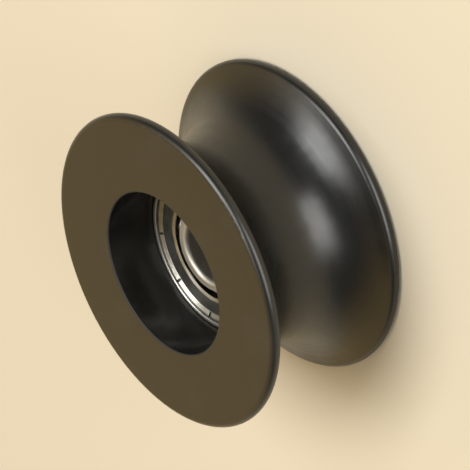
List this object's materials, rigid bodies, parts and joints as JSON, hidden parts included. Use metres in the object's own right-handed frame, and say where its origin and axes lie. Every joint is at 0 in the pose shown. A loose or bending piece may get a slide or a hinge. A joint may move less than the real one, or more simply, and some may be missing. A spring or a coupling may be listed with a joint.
{
  "type": "wire rope sheave",
  "caption": "Black nylon wheel with a hollow rope groove between two rounded lips, a deep round recess in each end and a shielded ball bearing in the middle.",
  "frame": {"origin": "middle of the wheel, on the axle's axis and in the plane of the rope", "axes": "+Z along the axle, towards the front face, whose recess shows the bearing; the wheel stands on its rear face"},
  "size_m": [0.062, 0.062, 0.031],
  "materials": {
    "black_nylon": "turned black nylon, satin",
    "ring_steel": "ground bearing steel, bright",
    "shield_steel": "pressed sheet steel, bright",
    "cage_steel": "pressed sheet steel, dull",
    "rivet_steel": "headed wire, dull",
    "ball_steel": "polished"
  },
  "bodies": {
    "sheave": {"sheave_wheel": "black_nylon", "outer_ring": "ring_steel", "shield_front": "shield_steel", "shield_rear": "shield_steel"},
    "inner": {"inner_ring": "ring_steel"},
    "cage": {"cage_front": "cage_steel", "cage_rear": "cage_steel", "cage_rivets": "rivet_steel"},
    "ball_1": {"ball_1": "ball_steel"},
    "ball_2": {"ball_2": "ball_steel"},
    "ball_3": {"ball_3": "ball_steel"},
    "ball_4": {"ball_4": "ball_steel"},
    "ball_5": {"ball_5": "ball_steel"},
    "ball_6": {"ball_6": "ball_steel"},
    "ball_7": {"ball_7": "ball_steel"}
  },
  "joints": [
    {"name": "inner_spin", "type": "hinge", "parent": "sheave", "child": "inner", "pos_m": [0, 0, 0], "axis": [0, 0, 1], "continuous": true},
    {"name": "cage_spin", "type": "hinge", "parent": "sheave", "child": "cage", "pos_m": [0, 0, 0], "axis": [0, 0, 1], "continuous": true},
    {"name": "ball_1_spin", "type": "hinge", "parent": "cage", "child": "ball_1", "pos_m": [0.011, 0, 0], "axis": [0, 0, 1], "continuous": true},
    {"name": "ball_2_spin", "type": "hinge", "parent": "cage", "child": "ball_2", "pos_m": [0.00686, 0.0086, 0], "axis": [0, 0, 1], "continuous": true},
    {"name": "ball_3_spin", "type": "hinge", "parent": "cage", "child": "ball_3", "pos_m": [-0.00245, 0.01072, 0], "axis": [0, 0, 1], "continuous": true},
    {"name": "ball_4_spin", "type": "hinge", "parent": "cage", "child": "ball_4", "pos_m": [-0.00991, 0.00477, 0], "axis": [0, 0, 1], "continuous": true},
    {"name": "ball_5_spin", "type": "hinge", "parent": "cage", "child": "ball_5", "pos_m": [-0.00991, -0.00477, 0], "axis": [0, 0, 1], "continuous": true},
    {"name": "ball_6_spin", "type": "hinge", "parent": "cage", "child": "ball_6", "pos_m": [-0.00245, -0.01072, 0], "axis": [0, 0, 1], "continuous": true},
    {"name": "ball_7_spin", "type": "hinge", "parent": "cage", "child": "ball_7", "pos_m": [0.00686, -0.0086, 0], "axis": [0, 0, 1], "continuous": true}
  ],
  "couplings": [
    {"joint": "cage_spin", "follows": "inner_spin", "ratio": 0.36471},
    {"joint": "ball_1_spin", "follows": "inner_spin", "ratio": -1.7125},
    {"joint": "ball_2_spin", "follows": "inner_spin", "ratio": -1.7125},
    {"joint": "ball_3_spin", "follows": "inner_spin", "ratio": -1.7125},
    {"joint": "ball_4_spin", "follows": "inner_spin", "ratio": -1.7125},
    {"joint": "ball_5_spin", "follows": "inner_spin", "ratio": -1.7125},
    {"joint": "ball_6_spin", "follows": "inner_spin", "ratio": -1.7125},
    {"joint": "ball_7_spin", "follows": "inner_spin", "ratio": -1.7125}
  ]
}
